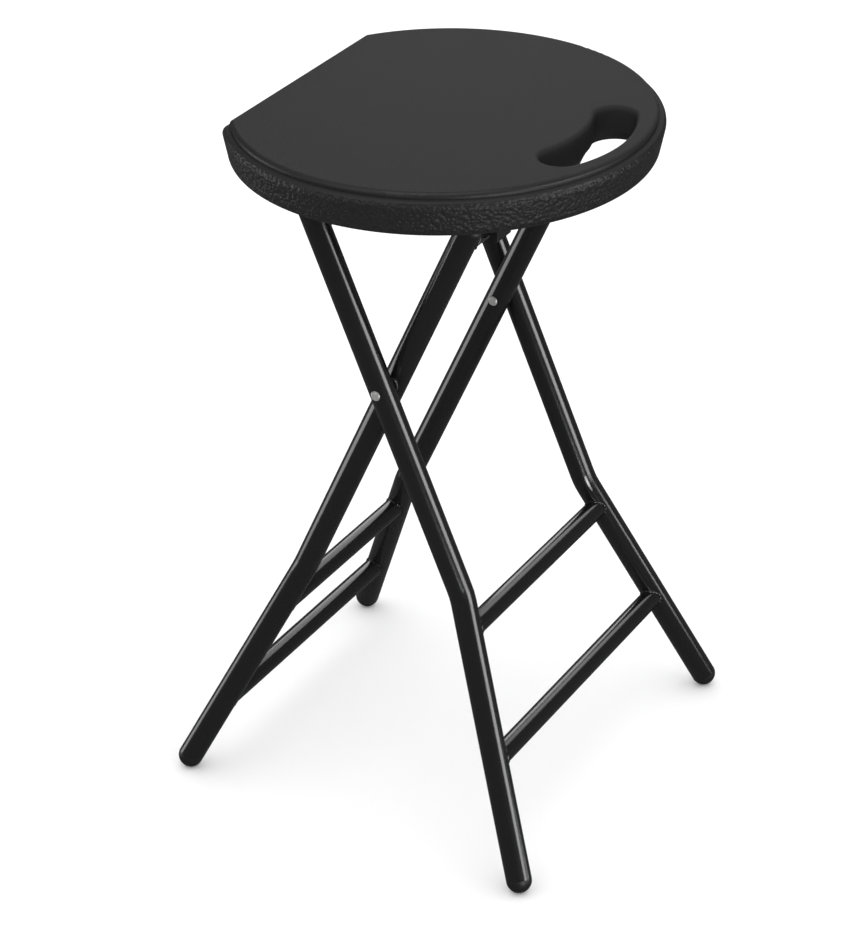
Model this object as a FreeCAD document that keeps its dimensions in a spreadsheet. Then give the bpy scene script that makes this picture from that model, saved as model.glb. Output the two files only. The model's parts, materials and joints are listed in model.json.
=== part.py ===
import FreeCAD, Part
import math
import os
import Sketcher
from FreeCAD import Placement, Rotation, Vector

# Folding stool: a hollow moulded seat on two crossed tube frames. The outer frame carries
# the seat's hinge under the straight edge, and the inner frame's top tube rests in two open
# latch blocks near the carry handle. +Z is up, +X points to the carry handle, and the hinge
# and pivot axes run along Y. The origin is on the floor, midway along and across the stool.

doc = FreeCAD.newDocument("folding_stool")

# Driving dimensions, in millimetres and degrees
SIZES = [
    ("seat_height", 610.0, "floor to the top of the seat"),
    ("seat_thickness", 37.5, "height of the seat's rim"),
    ("seat_half_width", 190.4, "oval's half width at the rim, across the stool"),
    ("seat_half_depth", 183.1, "oval's half depth at the rim, towards the handle"),
    ("seat_cut", 37.7, "what the straight edge takes off the oval's half depth"),
    ("seat_setback", 5.5, "oval's centre behind the pivot axis"),
    ("seat_wall", 3.5, "moulded skin"),
    ("seat_draft", 11.5, "slope of the rim, degrees from upright"),
    ("seat_corner", 11.0, "rounding of the straight edge's two corners"),
    ("seat_shoulder_round", 5.5, "rounding of the rim's shoulder"),
    ("seat_bottom_round", 9.0, "rounding of the bottom edge"),
    ("deck_inset", 7.4, "rim to the raised deck that is sat on"),
    ("deck_rise", 5.5, "deck above the rim's shoulder"),
    ("deck_round", 3.5, "rounding of the deck's edge"),
    ("handle_lobe", 17.5, "radius of the handle hole's two wide ends"),
    ("handle_lobe_inset", 50.6, "seat's rim to the middle of those ends"),
    ("handle_half_span", 50.0, "stool's middle to the middle of an end"),
    ("handle_outer_inset", 21.6, "seat's rim to the hole's outer edge"),
    ("handle_inner_inset", 58.6, "seat's rim to the hole's waist"),
    ("handle_round", 4.0, "rounding of the hole's edges"),
    ("grip_back", 11.0, "finger relief below, from the hole towards the middle"),
    ("grip_aside", 20.0, "finger relief below, beyond the hole's ends"),
    ("grip_outer_inset", 26.6, "seat's rim to the relief's outer edge"),
    ("grip_depth", 15.0, "depth of the finger relief"),
    ("vent_radius", 2.5, "blow hole in the seat's underside, between two wells"),
    ("leg_diameter", 22.0, "outside of the leg and cross tubes"),
    ("rung_diameter", 18.0, "outside of the rungs"),
    ("tube_wall", 1.2, "wall of every tube"),
    ("tube_drop", 31.5, "seat's underside to the top tubes' axes"),
    ("pivot_share", 0.6557, "height of the pivot rivets over that of the seat"),
    ("outer_lean", 23.6, "outer frame, degrees from upright"),
    ("inner_lean", 24.2, "inner frame, degrees from upright"),
    ("outer_leg_offset", 115.8, "stool's middle to an outer leg"),
    ("inner_leg_offset", 91.5, "stool's middle to an inner leg"),
    ("outer_foot_offset", 187.0, "stool's middle to an outer foot"),
    ("inner_foot_offset", 159.0, "stool's middle to an inner foot"),
    ("outer_bend_height", 225.0, "floor to the bend in an outer leg"),
    ("inner_bend_height", 195.0, "floor to the bend in an inner leg"),
    ("bend_radius", 45.0, "centre line of the bends"),
    ("outer_rung_height", 199.0, "floor to the outer frame's upper rung"),
    ("outer_low_rung_height", 101.0, "floor to the outer frame's lower rung"),
    ("inner_rung_height", 157.0, "floor to the inner frame's upper rung"),
    ("inner_low_rung_height", 64.0, "floor to the inner frame's lower rung"),
    ("plug_length", 16.0, "part of a cap or plug inside its tube"),
    ("plug_slack", 0.1, "cap or plug to the tube's bore"),
    ("plug_head", 2.5, "head of a leg's plug"),
    ("rivet_radius", 3.0, "shank"),
    ("rivet_head_radius", 4.4, "domed head"),
    ("rivet_head_height", 1.9, "domed head"),
    ("rivet_crown", 2.6, "radius of the domed head's flat middle"),
    ("pivot_slack", 0.1, "rivet to the inner leg's hole"),
    ("spacer_radius", 8.0, "washer between the legs"),
    ("side_slack", 0.3, "gap beside a moving leg"),
    ("hinge_slack", 0.1, "top tube to the hinge block"),
    ("latch_slack", 0.3, "top tube to the latch block"),
    ("block_offset", 58.0, "stool's middle to a block"),
    ("block_width", 24.0, "block, along its tube"),
    ("hinge_block_wall", 12.0, "hinge block beside the tube"),
    ("latch_block_wall", 7.0, "latch block beside the tube"),
    ("flange_reach", 12.0, "a block's fixing flange"),
    ("flange_thickness", 6.0, "a block's fixing flange"),
    ("latch_lip", 8.0, "latch block below the tube's axis"),
    ("latch_ramp", 35.0, "latch block's lead-in, degrees from upright"),
    ("strap_thickness", 2.0, "steel strap under the hinge tube"),
    ("strap_width", 19.0, "strap, along its tube"),
    ("screw_radius", 2.2, "shank"),
    ("screw_head_radius", 4.2, "head"),
    ("screw_head_height", 2.6, "head"),
    ("screw_crown", 3.0, "radius of the head's flat end"),
    ("screw_slack", 0.15, "screw to its hole"),
    ("screw_bite", 16.0, "fixing screw inside the seat"),
    ("strap_screw_length", 18.0, "strap screw inside the block"),
    ("cut_margin", 1.0, "pilot holes and cuts run past by this"),
    ("boss_radius", 7.0, "solid pillar round a fixing screw"),
    ("well_radius", 11.0, "mouth of a moulded well in the seat's underside"),
    ("well_draft", 8.0, "taper of the wells, degrees"),
]

sheet = doc.addObject("Spreadsheet::Sheet", "Sizes")
for row, (name, value, meaning) in enumerate(SIZES, 1):
    sheet.set("A%d" % row, name)
    sheet.set("B%d" % row, str(value))
    sheet.set("C%d" % row, meaning)
    sheet.setAlias("B%d" % row, name)

# Places worked out from the sizes
PLACES = [
    ("leg_radius", "Sizes.leg_diameter / 2"),
    ("rung_radius", "Sizes.rung_diameter / 2"),
    ("seat_bottom", "Sizes.seat_height - Sizes.seat_thickness"),
    ("seat_side_radius", "Sizes.seat_half_depth ^ 2 / Sizes.seat_half_width"),
    ("seat_chord", "Sizes.seat_half_depth - Sizes.seat_cut"),
    ("handle_lobe_reach", "Sizes.seat_half_depth - Sizes.handle_lobe_inset"),
    ("handle_outer_reach", "Sizes.seat_half_depth - Sizes.handle_outer_inset"),
    ("handle_inner_reach", "Sizes.seat_half_depth - Sizes.handle_inner_inset"),
    ("grip_outer_reach", "Sizes.seat_half_depth - Sizes.grip_outer_inset"),
    ("pivot_height", "Sizes.seat_height * Sizes.pivot_share"),
    ("tube_height", "seat_bottom - Sizes.tube_drop"),
    ("pivot_x", "(tan(Sizes.inner_lean) - tan(Sizes.outer_lean)) * (pivot_height - leg_radius) / 2"),
    ("seat_x", "pivot_x - Sizes.seat_setback"),
    ("outer_tube_x", "pivot_x - (tube_height - pivot_height) * tan(Sizes.outer_lean)"),
    ("inner_tube_x", "pivot_x + (tube_height - pivot_height) * tan(Sizes.inner_lean)"),
    ("vent_x", "(3 * outer_tube_x + inner_tube_x) / 4"),
    ("outer_top", "(tube_height - pivot_height) / cos(Sizes.outer_lean)"),
    ("inner_top", "(tube_height - pivot_height) / cos(Sizes.inner_lean)"),
    ("outer_end", "outer_top + leg_radius"),
    ("inner_end", "inner_top + leg_radius"),
    ("outer_bend", "(pivot_height - Sizes.outer_bend_height) / cos(Sizes.outer_lean)"),
    ("inner_bend", "(pivot_height - Sizes.inner_bend_height) / cos(Sizes.inner_lean)"),
    ("outer_foot", "(pivot_height - leg_radius) / cos(Sizes.outer_lean)"),
    ("inner_foot", "(pivot_height - leg_radius) / cos(Sizes.inner_lean)"),
    ("outer_splay", "atan((Sizes.outer_foot_offset - Sizes.outer_leg_offset) / (outer_foot - outer_bend)) / 1deg"),
    ("inner_splay", "atan((Sizes.inner_foot_offset - Sizes.inner_leg_offset) / (inner_foot - inner_bend)) / 1deg"),
    ("tube_bore", "leg_radius - Sizes.tube_wall"),
    ("plug_radius", "tube_bore - Sizes.plug_slack"),
    ("outer_face", "Sizes.outer_leg_offset + leg_radius"),
    ("leg_gap", "Sizes.outer_leg_offset - Sizes.inner_leg_offset - Sizes.leg_diameter"),
    ("saddle_radius", "leg_radius + Sizes.hinge_slack"),
    ("latch_radius", "leg_radius + Sizes.latch_slack"),
    ("hinge_half", "saddle_radius + Sizes.hinge_block_wall"),
    ("latch_half", "latch_radius + Sizes.latch_block_wall"),
    ("hinge_fixing", "hinge_half + Sizes.flange_reach / 2"),
    ("latch_fixing", "latch_half + Sizes.flange_reach / 2"),
    ("strap_fixing", "(saddle_radius + Sizes.strap_thickness + hinge_half) / 2"),
    ("screw_hole", "Sizes.screw_radius + Sizes.screw_slack"),
]

places = doc.addObject("Spreadsheet::Sheet", "Places")
for row, (name, formula) in enumerate(PLACES, 1):
    places.set("A%d" % row, name)
    places.set("B%d" % row, "=" + formula)
    places.setAlias("B%d" % row, name)
doc.recompute()


DRIVING = [name for name, value, meaning in SIZES]


def size(name):
    """The present value of a driving dimension or of a worked-out place."""
    return float(getattr(sheet if name in DRIVING else places, name))


def ref(name):
    """The same dimension as an expression that objects can be bound to."""
    return ("Sizes." if name in DRIVING else "Places.") + name


def worth(rule):
    """The present value of an expression."""
    return float(sheet.evalExpression(rule))


def bind(item, links):
    for target, expression in links.items():
        item.setExpression(target, expression)


# Sketches and features

TOLERANCE = 0.01


def new_body(name):
    body = doc.addObject("PartDesign::Body", name)
    body.Label = name
    return body


def new_sketch(body, role, name, offset=None):
    """A sketch on one of the body's own origin planes, its offset bound to expressions."""
    sketch = body.newObject("Sketcher::SketchObject", name)
    plane = [item for item in body.Origin.OriginFeatures if item.Role == role][0]
    sketch.AttachmentSupport = (plane, [""])
    sketch.MapMode = "FlatFace"
    bind(sketch, {"AttachmentOffset." + target: rule for target, rule in (offset or {}).items()})
    return sketch


def pin(sketch, geometry, vertex, x_rule, y_rule):
    """Holds a point at a place given by two expressions; 0 puts it on the axis."""
    for kind, rule, axis in (("DistanceX", x_rule, -2), ("DistanceY", y_rule, -1)):
        reach = worth(rule)
        if rule == "0":
            sketch.addConstraint(Sketcher.Constraint("PointOnObject", geometry, vertex, axis))
        elif reach < 0:
            measure(sketch, kind, (geometry, vertex, -1, 1), "-(" + rule + ")")
        else:
            measure(sketch, kind, (-1, 1, geometry, vertex), rule)


def measure(sketch, kind, parts, rule):
    index = sketch.addConstraint(Sketcher.Constraint(kind, *parts, worth(rule)))
    sketch.setExpression("Constraints[%d]" % index, rule)


def circle(sketch, x_rule, y_rule, radius_rule):
    centre = Vector(worth(x_rule), worth(y_rule), 0)
    shape = Part.Circle(centre, Vector(0, 0, 1), worth(radius_rule))
    index = sketch.addGeometry(shape, False)
    pin(sketch, index, 3, x_rule, y_rule)
    measure(sketch, "Radius", (index,), radius_rule)


def outline(sketch, rules):
    """A closed outline of straight lines through corners given by expressions."""
    corners = [Vector(worth(x_rule), worth(y_rule), 0) for x_rule, y_rule in rules]
    for start, end in zip(corners, corners[1:] + corners[:1]):
        sketch.addGeometry(Part.LineSegment(start, end), False)
    count = len(corners)
    for index in range(count):
        sketch.addConstraint(Sketcher.Constraint("Coincident", index, 2, (index + 1) % count, 1))
    for index, (x_rule, y_rule) in enumerate(rules):
        pin(sketch, index, 1, x_rule, y_rule)


def feature(body, kind, name, profile, settings=None, links=None):
    item = body.newObject("PartDesign::" + kind, name)
    item.Profile = profile
    for key, setting in (settings or {}).items():
        setattr(item, key, setting)
    bind(item, links or {})
    return item


def through(body, name, profile):
    """A cut both ways from its sketch, right through the body."""
    return feature(body, "Pocket", name, profile, {"SideType": "Symmetric", "Type": "ThroughAll"})


def edges_where(shape, test):
    names = []
    for index, edge in enumerate(shape.Edges, 1):
        if test(edge):
            names.append("Edge%d" % index)
    return names


def fillet(body, name, base, test, radius_rule):
    doc.recompute()
    item = body.newObject("PartDesign::Fillet", name)
    item.Base = (base, edges_where(base.Shape, test))
    item.setExpression("Radius", radius_rule)
    return item


def stand(item, x_rule, z_rule, lean_rule=None, lean_axis=Vector(0, 1, 0)):
    """Puts a piece at a place on the stool, leaning about Y with its frame if it has one."""
    item.Placement = Placement(Vector(0, 0, 1), Rotation(lean_axis, 1 if lean_rule else 0))
    bind(item, {"Placement.Base.x": x_rule, "Placement.Base.z": z_rule})
    if lean_rule:
        item.setExpression("Placement.Rotation.Angle", lean_rule)


def mirrored(name, source):
    """The right-hand copy of a left-hand piece."""
    item = doc.addObject("Part::Mirroring", name)
    item.Label = name
    item.Source = source
    item.Normal = (0, 1, 0)
    return item


pieces = []


def keep(*items):
    pieces.extend(items)


def keep_pair(left, right_name):
    keep(left, mirrored(right_name, left))


# Frames. Each is drawn flat, upright in the YZ plane with the pivot axis at its origin, and
# then leans about that axis.

LEAN_AXES = {"outer": Vector(0, -1, 0), "inner": Vector(0, 1, 0)}


def lean(item, frame):
    stand(item, ref("pivot_x"), ref("pivot_height"), ref(frame + "_lean"), LEAN_AXES[frame])


def leg(frame):
    """A round tube: straight from the seat past the pivot, then bent out to the foot."""
    body = new_body(frame + "_leg_left")
    across, foot_across = size(frame + "_leg_offset"), size(frame + "_foot_offset")
    top, bend, foot = size(frame + "_end"), size(frame + "_bend"), size(frame + "_foot")
    turn = math.radians(size(frame + "_splay"))
    radius = size("bend_radius")
    tangent = radius * math.tan(turn / 2)
    path = new_sketch(body, "YZ_Plane", frame + "_leg_path")
    corner = Vector(across, -bend, 0)
    bend_start = Vector(across, tangent - bend, 0)
    bend_end = corner + Vector(math.sin(turn), -math.cos(turn), 0) * tangent
    centre = bend_start + Vector(radius, 0, 0)
    bend_circle = Part.Circle(centre, Vector(0, 0, 1), radius)
    upper = path.addGeometry(Part.LineSegment(Vector(across, top, 0), bend_start), False)
    arc = path.addGeometry(Part.ArcOfCircle(bend_circle, math.pi, math.pi + turn), False)
    lower = path.addGeometry(Part.LineSegment(bend_end, Vector(foot_across, -foot, 0)), False)
    knee = path.addGeometry(Part.Point(corner), True)
    path.addConstraint(Sketcher.Constraint("Tangent", upper, 2, arc, 1))
    path.addConstraint(Sketcher.Constraint("Tangent", arc, 2, lower, 1))
    path.addConstraint(Sketcher.Constraint("Vertical", upper))
    path.addConstraint(Sketcher.Constraint("PointOnObject", knee, 1, upper))
    path.addConstraint(Sketcher.Constraint("PointOnObject", knee, 1, lower))
    measure(path, "Radius", (arc,), ref("bend_radius"))
    measure(path, "DistanceY", (knee, 1, -1, 1), ref(frame + "_bend"))
    pin(path, upper, 1, ref(frame + "_leg_offset"), ref(frame + "_end"))
    pin(path, lower, 2, ref(frame + "_foot_offset"), "-" + ref(frame + "_foot"))
    ring = new_sketch(body, "XY_Plane", frame + "_leg_ring", {"Base.z": ref(frame + "_end")})
    for radius_name in ("leg_radius", "tube_bore"):
        circle(ring, "0", ref(frame + "_leg_offset"), ref(radius_name))
    pipe = feature(body, "AdditivePipe", frame + "_leg_pipe", ring)
    pipe.Spine = (path, ["Edge1", "Edge2", "Edge3"])
    hole = new_sketch(body, "XZ_Plane", frame + "_leg_hole")
    circle(hole, "0", "0", ref("rivet_radius") + " + " + ref("pivot_slack"))
    through(body, frame + "_leg_cut", hole)
    lean(body, frame)
    return body


def cross_tube(frame):
    """The tube between the tops of the legs, its ends cut to lie on them."""
    body = new_body(frame + "_top_tube")
    ring = new_sketch(body, "XZ_Plane", frame + "_top_ring")
    for radius_name in ("leg_radius", "tube_bore"):
        circle(ring, "0", ref(frame + "_top"), ref(radius_name))
    feature(body, "Pad", frame + "_top_pad", ring, {"SideType": "Symmetric"},
            {"Length": "2 * " + ref(frame + "_leg_offset")})
    saddles = new_sketch(body, "XY_Plane", frame + "_top_saddles")
    for side in ("", "-"):
        circle(saddles, "0", side + ref(frame + "_leg_offset"), ref("leg_radius"))
    through(body, frame + "_top_cuts", saddles)
    lean(body, frame)
    return body


def leg_plug(frame):
    """A plastic plug in the upper end of a leg, its head flush with the tube."""
    body = new_body(frame + "_leg_plug_left")
    offset = {"Base.x": ref(frame + "_leg_offset"), "Base.y": ref(frame + "_end"),
              "Rotation.Angle": "90"}
    profile = new_sketch(body, "YZ_Plane", frame + "_plug_profile", offset)
    crown = ref("leg_radius") + " - " + ref("plug_head") + " / 2"
    rules = [("-" + ref("plug_length"), "0"), ("-" + ref("plug_length"), ref("plug_radius")),
             ("0", ref("plug_radius")), ("0", ref("leg_radius")),
             (ref("plug_head") + " / 2", ref("leg_radius")), (ref("plug_head"), crown),
             (ref("plug_head"), "0")]
    outline(profile, rules)
    feature(body, "Revolution", frame + "_plug_turned", profile,
            {"ReferenceAxis": (profile, ["H_Axis"])})
    lean(body, frame)
    return body


def foot_cap(frame):
    """A plastic cap pushed into the foot: a stem in the tube and a dome that meets the floor."""
    body = new_body(frame + "_foot_cap_left")
    offset = {"Base.x": ref(frame + "_foot_offset"), "Base.y": "-" + ref(frame + "_foot"),
              "Rotation.Angle": ref(frame + "_splay")}
    profile = new_sketch(body, "YZ_Plane", frame + "_cap_profile", offset)
    dome, stem_radius, stem = size("leg_radius"), size("plug_radius"), size("plug_length")
    points = [Vector(0, -dome, 0), Vector(0, stem, 0), Vector(stem_radius, stem, 0),
              Vector(stem_radius, 0, 0), Vector(dome, 0, 0)]
    for start, end in zip(points, points[1:]):
        profile.addGeometry(Part.LineSegment(start, end), False)
    dome_circle = Part.Circle(Vector(0, 0, 0), Vector(0, 0, 1), dome)
    dome_arc = profile.addGeometry(Part.ArcOfCircle(dome_circle, -math.pi / 2, 0), False)
    for index in range(dome_arc - 1):
        profile.addConstraint(Sketcher.Constraint("Coincident", index, 2, index + 1, 1))
    profile.addConstraint(Sketcher.Constraint("Coincident", dome_arc - 1, 2, dome_arc, 2))
    profile.addConstraint(Sketcher.Constraint("Coincident", dome_arc, 1, 0, 1))
    profile.addConstraint(Sketcher.Constraint("Coincident", dome_arc, 3, -1, 1))
    profile.addConstraint(Sketcher.Constraint("Vertical", 0))
    pin(profile, 1, 1, "0", ref("plug_length"))
    pin(profile, 2, 1, ref("plug_radius"), ref("plug_length"))
    pin(profile, 3, 1, ref("plug_radius"), "0")
    pin(profile, dome_arc, 2, ref("leg_radius"), "0")
    feature(body, "Revolution", frame + "_cap_turned", profile,
            {"ReferenceAxis": (profile, ["V_Axis"])})
    lean(body, frame)
    return body


def rung(name, frame, height_name):
    """A thinner tube between the splayed legs, its ends cut to lie on them."""
    drop = "(" + ref("pivot_height") + " - " + ref(height_name) + ") / cos(" + ref(frame + "_lean") + ")"
    span = "2 * " + ref(frame + "_foot_offset")
    rods = []
    for part, radius_rule in (("rod", ref("rung_radius")),
                              ("bore", ref("rung_radius") + " - " + ref("tube_wall"))):
        rod = doc.addObject("Part::Cylinder", name + "_" + part)
        rod.Placement = Placement(Vector(0, 0, 0), Rotation(Vector(1, 0, 0), 90))
        bind(rod, {"Radius": radius_rule, "Height": span, "Placement.Base.z": "-" + drop,
                   "Placement.Base.y": ref(frame + "_foot_offset")})
        rods.append(rod)
    cutter = doc.addObject("Part::Cylinder", name + "_leg_left")
    cutter.Placement = Placement(Vector(0, 0, 0), Rotation(Vector(1, 0, 0), 1))
    length = "(" + ref(frame + "_foot") + " - " + ref(frame + "_bend") + ") / cos(" + ref(frame + "_splay") + ")"
    bind(cutter, {"Radius": ref("leg_radius"), "Height": length,
                  "Placement.Base.y": ref(frame + "_foot_offset"),
                  "Placement.Base.z": "-" + ref(frame + "_foot"),
                  "Placement.Rotation.Angle": ref(frame + "_splay")})
    beyond = doc.addObject("Part::Box", name + "_beyond_left")
    edge = ref(frame + "_leg_offset") + " + (" + drop + " - " + ref(frame + "_bend") + ") * tan(" \
        + ref(frame + "_splay") + ")"
    bind(beyond, {"Length": ref("leg_diameter"), "Width": span, "Height": ref("leg_diameter"),
                  "Placement.Base.x": "-" + ref("leg_radius"), "Placement.Base.y": edge,
                  "Placement.Base.z": "-" + drop + " - " + ref("leg_radius")})
    tools = doc.addObject("Part::MultiFuse", name + "_cutters")
    tools.Shapes = [cutter, mirrored(name + "_leg_right", cutter),
                    beyond, mirrored(name + "_beyond_right", beyond), rods[1]]
    item = doc.addObject("Part::Cut", name)
    item.Label = name
    item.Base = rods[0]
    item.Tool = tools
    lean(item, frame)
    return item


for frame in ("outer", "inner"):
    keep_pair(leg(frame), frame + "_leg_right")
    keep(cross_tube(frame))
    keep_pair(leg_plug(frame), frame + "_leg_plug_right")
    keep_pair(foot_cap(frame), frame + "_foot_cap_right")
    keep(rung(frame + "_upper_rung", frame, frame + "_rung_height"))
    keep(rung(frame + "_lower_rung", frame, frame + "_low_rung_height"))


# Pivot: a rivet through both legs of a side, with a washer between them

def rivet():
    """A shank with a domed head on the outer leg and a clinched head inside the inner leg."""
    body = new_body("pivot_rivet_left")
    profile = new_sketch(body, "YZ_Plane", "rivet_profile")
    inside = ref("inner_leg_offset") + " - " + ref("leg_radius") + " - " + ref("side_slack")
    outside = ref("outer_face")
    height, half = ref("rivet_head_height"), ref("rivet_head_height") + " / 2"
    head, shank = ref("rivet_head_radius"), ref("rivet_radius")
    crown = ref("rivet_crown")
    rules = [(inside + " - " + height, "0"), (inside + " - " + height, crown),
             (inside + " - " + half, head), (inside, head), (inside, shank),
             (outside, shank), (outside, head), (outside + " + " + half, head),
             (outside + " + " + height, crown), (outside + " + " + height, "0")]
    outline(profile, rules)
    feature(body, "Revolution", "rivet_turned", profile, {"ReferenceAxis": (profile, ["H_Axis"])})
    stand(body, ref("pivot_x"), ref("pivot_height"))
    return body


def spacer():
    """A washer on the rivet that keeps the legs apart."""
    body = new_body("pivot_spacer_left")
    reach = "-(" + ref("outer_leg_offset") + " - " + ref("leg_radius") + ")"
    ring = new_sketch(body, "XZ_Plane", "spacer_ring", {"Base.z": reach})
    circle(ring, "0", "0", ref("spacer_radius"))
    circle(ring, "0", "0", ref("rivet_radius") + " + " + ref("pivot_slack"))
    feature(body, "Pad", "spacer_pad", ring, {},
            {"Length": ref("leg_gap") + " - " + ref("side_slack")})
    stand(body, ref("pivot_x"), ref("pivot_height"))
    return body


keep_pair(rivet(), "pivot_rivet_right")
keep_pair(spacer(), "pivot_spacer_right")


# Seat

def oval(body, name, inset_rule, offset):
    """The seat's plan: an oval of three arcs cut by the straight edge, smaller by an inset."""
    sketch = new_sketch(body, "XY_Plane", name, offset)
    inset = " - (" + inset_rule + ")"
    wide_rule = ref("seat_half_width") + inset
    deep_rule = ref("seat_half_depth") + inset
    side_rule = ref("seat_side_radius") + inset
    chord_rule = ref("seat_chord") + inset
    wide, deep, side = worth(wide_rule), worth(deep_rule), worth(side_rule)
    front = (deep ** 2 + (wide - side) ** 2 - side ** 2) / (2 * (deep - side))
    sign = 1 if front > side else -1
    turn = math.atan2(sign * (wide - side), sign * (front - deep))
    stop = math.pi - math.acos(worth(chord_rule) / side)
    arcs = [(deep - front, 0, front, -turn, turn), (0, wide - side, side, turn, stop),
            (0, side - wide, side, -stop, -turn)]
    for x, y, radius, start, end in arcs:
        ring = Part.Circle(Vector(x, y, 0), Vector(0, 0, 1), radius)
        sketch.addGeometry(Part.ArcOfCircle(ring, start, end), False)
    front_arc, left_arc, right_arc = range(len(arcs))
    ends = [sketch.Geometry[left_arc].EndPoint, sketch.Geometry[right_arc].StartPoint]
    edge = sketch.addGeometry(Part.LineSegment(*ends), False)
    foremost = sketch.addGeometry(Part.Point(Vector(deep, 0, 0)), True)
    for joint in ((front_arc, 2, left_arc, 1), (right_arc, 2, front_arc, 1)):
        sketch.addConstraint(Sketcher.Constraint("Tangent", *joint))
    sketch.addConstraint(Sketcher.Constraint("Coincident", left_arc, 2, edge, 1))
    sketch.addConstraint(Sketcher.Constraint("Coincident", right_arc, 1, edge, 2))
    sketch.addConstraint(Sketcher.Constraint("Vertical", edge))
    sketch.addConstraint(Sketcher.Constraint("PointOnObject", foremost, 1, front_arc))
    pin(sketch, foremost, 1, deep_rule, "0")
    middle = wide_rule + " - (" + side_rule + ")"
    pin(sketch, left_arc, 3, "0", middle)
    pin(sketch, right_arc, 3, "0", "-(" + middle + ")")
    measure(sketch, "Radius", (left_arc,), side_rule)
    measure(sketch, "Radius", (right_arc,), side_rule)
    measure(sketch, "DistanceX", (edge, 1, -1, 1), chord_rule)
    return sketch


def drafted_block(body, name, inset_rule, top_rule, height_rule):
    """The oval, filled downwards from its top, with its sides sloping in to leave the mould."""
    plan = oval(body, name + "_plan", inset_rule, {"Base.z": top_rule})
    pad = feature(body, "Pad", name + "_pad", plan, {"Reversed": True}, {"Length": height_rule})
    doc.recompute()
    top = worth(top_rule)
    faces = list(enumerate(pad.Shape.Faces, 1))
    sides = ["Face%d" % index for index, face in faces if abs(face.normalAt(0, 0).z) < TOLERANCE]
    tops = ["Face%d" % index for index, face in faces if abs(face.CenterOfMass.z - top) < TOLERANCE]
    slope = body.newObject("PartDesign::Draft", name + "_slope")
    slope.Base = (pad, sides)
    slope.NeutralPlane = (pad, tops)
    slope.Reversed = True
    slope.setExpression("Angle", ref("seat_draft"))
    return slope


def handle_outline(body, name, grow_rule, reach_name="handle_outer_reach", back_rule="0",
                   aside_rule="0"):
    """The carry handle's hole: two round ends, joined by an arc that follows the rim and by an
    arc that narrows the middle. It can grow all round, back to the middle and to the sides."""
    sketch = new_sketch(body, "XY_Plane", name)
    half_back = " + " + back_rule + " / 2"
    lobe_rule = ref("handle_lobe") + " + " + grow_rule + half_back
    reach_rule = ref("handle_lobe_reach") + " - " + back_rule + " / 2"
    span_rule = ref("handle_half_span") + " + " + aside_rule + " - " + back_rule + " / 2"
    far_rule = ref(reach_name) + " + " + grow_rule
    near_rule = ref("handle_inner_reach") + " - " + grow_rule + " - " + back_rule
    lobe, reach, span = worth(lobe_rule), worth(reach_rule), worth(span_rule)
    far, near = worth(far_rule), worth(near_rule)
    far_edge, near_edge = far - lobe, near + lobe
    far_centre = (far_edge ** 2 - reach ** 2 - span ** 2) / (2 * (far_edge - reach))
    near_centre = (near_edge ** 2 - reach ** 2 - span ** 2) / (2 * (near_edge - reach))
    far_turn = math.atan2(span, reach - far_centre)
    near_turn = math.atan2(span, reach - near_centre)
    arcs = [(far_centre, 0, far - far_centre, -far_turn, far_turn),
            (reach, span, lobe, far_turn, near_turn + math.pi),
            (near_centre, 0, near - near_centre, -near_turn, near_turn),
            (reach, -span, lobe, math.pi - near_turn, 2 * math.pi - far_turn)]
    for x, y, radius, start, end in arcs:
        ring = Part.Circle(Vector(x, y, 0), Vector(0, 0, 1), radius)
        sketch.addGeometry(Part.ArcOfCircle(ring, start, end), False)
    outer, left, inner, right = range(len(arcs))
    outer_middle = sketch.addGeometry(Part.Point(Vector(far, 0, 0)), True)
    inner_middle = sketch.addGeometry(Part.Point(Vector(near, 0, 0)), True)
    for joint in ((outer, 2, left, 1), (left, 2, inner, 2), (inner, 1, right, 1), (right, 2, outer, 1)):
        sketch.addConstraint(Sketcher.Constraint("Tangent", *joint))
    pin(sketch, left, 3, reach_rule, span_rule)
    pin(sketch, right, 3, reach_rule, "-(" + span_rule + ")")
    measure(sketch, "Radius", (left,), lobe_rule)
    measure(sketch, "Radius", (right,), lobe_rule)
    pin(sketch, outer_middle, 1, far_rule, "0")
    pin(sketch, inner_middle, 1, near_rule, "0")
    sketch.addConstraint(Sketcher.Constraint("PointOnObject", outer_middle, 1, outer))
    sketch.addConstraint(Sketcher.Constraint("PointOnObject", inner_middle, 1, inner))
    return sketch


def fixings():
    """Where the block screws go up into the seat, left and right, as expressions."""
    spots = []
    for tube, fixing in (("outer_tube_x", "hinge_fixing"), ("inner_tube_x", "latch_fixing")):
        for sign in (" - ", " + "):
            for side in ("", "-"):
                spots.append((ref(tube) + sign + ref(fixing), side + ref("block_offset")))
    return spots


def screw_circles(sketch, radius_rule):
    """A circle on each of the eight block screws, in the seat's own plan."""
    for x_rule, y_rule in fixings():
        circle(sketch, x_rule + " - " + ref("seat_x"), y_rule, radius_rule)


def well_circles(sketch, radius_rule):
    """A circle on each moulded well: rows over the two tubes and between them."""
    side = "(" + ref("block_offset") + " + " + ref("seat_half_width") + ") / 2"
    tubes = [ref("outer_tube_x"), ref("inner_tube_x")]
    middle = "(" + " + ".join(tubes) + ") / 2"
    for x_rule in (tubes[0], middle, tubes[1]):
        for y_rule in (side, "0", "-" + side):
            circle(sketch, x_rule + " - " + ref("seat_x"), y_rule, radius_rule)


def at_chord(edge):
    """Tells whether an edge goes up a corner of the seat's straight edge."""
    rises = abs(edge.Vertexes[0].Z - edge.Vertexes[-1].Z) > TOLERANCE
    return rises and edge.CenterOfMass.x < -size("seat_chord") / 2


def lies_at(edge, height):
    return abs(edge.CenterOfMass.z - height) < TOLERANCE


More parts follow.
